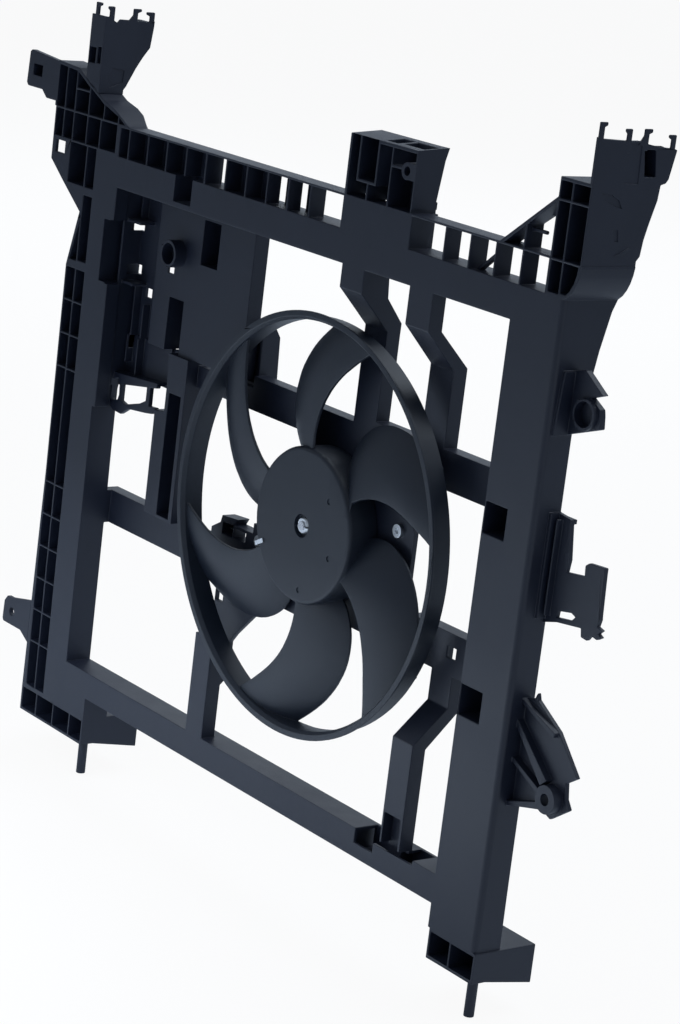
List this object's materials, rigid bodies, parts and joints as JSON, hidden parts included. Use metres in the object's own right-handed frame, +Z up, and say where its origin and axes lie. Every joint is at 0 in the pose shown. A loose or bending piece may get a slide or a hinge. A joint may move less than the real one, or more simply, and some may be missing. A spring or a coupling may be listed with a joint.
{
  "type": "radiator cooling fan",
  "caption": "Wide moulded vehicle fan frame with ribbed beams, feet, pegs and brackets, carrying one electric axial fan with swept blades joined by an outer ring.",
  "frame": {"origin": "midway between the two locating pegs, on their axes, at the underside of the feet", "axes": "+X to the right along the panel seen from the fan side, +Y backwards away from the fan side, +Z up"},
  "size_m": [0.9027, 0.0862, 0.752],
  "materials": {
    "frame_plastic": "dark grey moulded plastic, satin",
    "wheel_plastic": "dark grey moulded plastic, satin",
    "motor_steel": "black coated steel",
    "bearing_steel": "ground steel",
    "shaft_steel": "ground steel",
    "ferrite": "dark sintered ferrite",
    "core_steel": "stacked steel sheet",
    "copper_wire": "lacquered copper wire",
    "copper_bars": "bare copper bars",
    "brush_plastic": "brown phenolic board",
    "carbon": "pressed carbon",
    "spring_steel": "spring wire",
    "screw_zinc": "bright zinc plated",
    "terminal_tin": "tin plated"
  },
  "bodies": {
    "frame": {"left_post": "frame_plastic", "upper_left_corner": "frame_plastic", "left_horn": "frame_plastic", "top_beam": "frame_plastic", "horn_gusset": "frame_plastic", "centre_tower": "frame_plastic", "right_post": "frame_plastic", "right_horn": "frame_plastic", "bottom_beam": "frame_plastic", "left_foot": "frame_plastic", "right_foot": "frame_plastic", "upper_left_rail": "frame_plastic", "upper_right_rail": "frame_plastic", "lower_left_rail": "frame_plastic", "lower_right_rail": "frame_plastic", "upper_inner_strut": "frame_plastic", "upper_outer_strut": "frame_plastic", "lower_right_strut": "frame_plastic", "lower_left_strut": "frame_plastic", "motor_carrier": "frame_plastic", "module_plate": "frame_plastic", "module_bracket": "frame_plastic", "left_stile": "frame_plastic", "module_box": "frame_plastic", "upper_left_tab": "frame_plastic", "lower_left_tab": "frame_plastic", "upper_boss_bracket": "frame_plastic", "hook_bracket": "frame_plastic", "lower_boss_bracket": "frame_plastic", "motor_can": "motor_steel", "motor_end_cover": "motor_steel", "motor_flange": "motor_steel", "front_bearing": "bearing_steel", "rear_bearing": "bearing_steel", "field_magnets": "ferrite", "brush_card": "brush_plastic", "brushes": "carbon", "brush_springs": "spring_steel", "motor_screws": "screw_zinc", "connector_socket": "frame_plastic", "connector_terminals": "terminal_tin"},
    "rotor": {"fan_wheel": "wheel_plastic", "motor_shaft": "shaft_steel", "armature_core": "core_steel", "armature_windings": "copper_wire", "commutator": "copper_bars", "shaft_clip": "screw_zinc", "balance_clip": "screw_zinc"}
  },
  "joints": [
    {"name": "fan_spin", "type": "hinge", "parent": "frame", "child": "rotor", "pos_m": [0.0105, 0, 0.3106], "axis": [0, 1, 0], "continuous": true}
  ]
}
